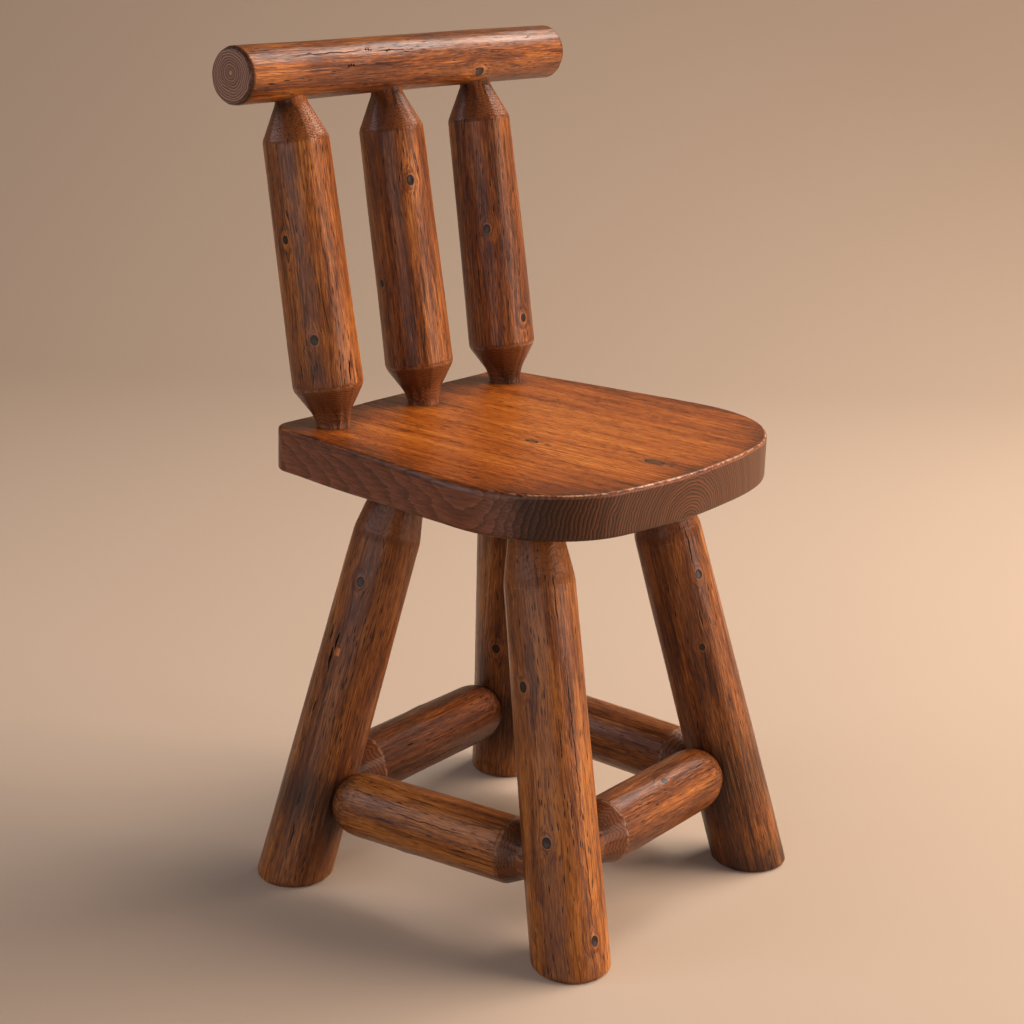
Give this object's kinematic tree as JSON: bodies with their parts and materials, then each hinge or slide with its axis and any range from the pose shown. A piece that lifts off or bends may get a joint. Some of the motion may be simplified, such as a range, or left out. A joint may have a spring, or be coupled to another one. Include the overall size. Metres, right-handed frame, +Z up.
{
  "type": "log chair",
  "caption": "Low rustic chair of stained round logs: thick slab seat, splayed legs tied by stretchers, and a leaning back of coned spindles under a crest log.",
  "frame": {"origin": "on the floor, midway between the rear right foot and the crest log's left end in X, and midway between the fronts of the front feet and the back of the crest log in Y", "axes": "+Z up; the sitter faces -Y and leans back towards +Y; +X is the sitter's left"},
  "size_m": [0.4743, 0.4436, 0.807],
  "materials": {
    "stained_pine_log": "satin varnish",
    "stained_pine_slab": "satin varnish",
    "wedge_wood": "bare"
  },
  "bodies": {
    "root": {"leg_front_right": "stained_pine_log", "leg_front_left": "stained_pine_log", "leg_rear_right": "stained_pine_log", "leg_rear_left": "stained_pine_log", "stretcher_front": "stained_pine_log", "stretcher_rear": "stained_pine_log", "stretcher_right": "stained_pine_log", "stretcher_left": "stained_pine_log", "spindle_right": "stained_pine_log", "spindle_middle": "stained_pine_log", "spindle_left": "stained_pine_log", "crest_rail": "stained_pine_log", "seat": "stained_pine_slab", "leg_wedges": "wedge_wood", "stretcher_wedges": "wedge_wood", "spindle_seat_wedges": "wedge_wood", "spindle_crest_wedges": "wedge_wood"}
  },
  "joints": []
}
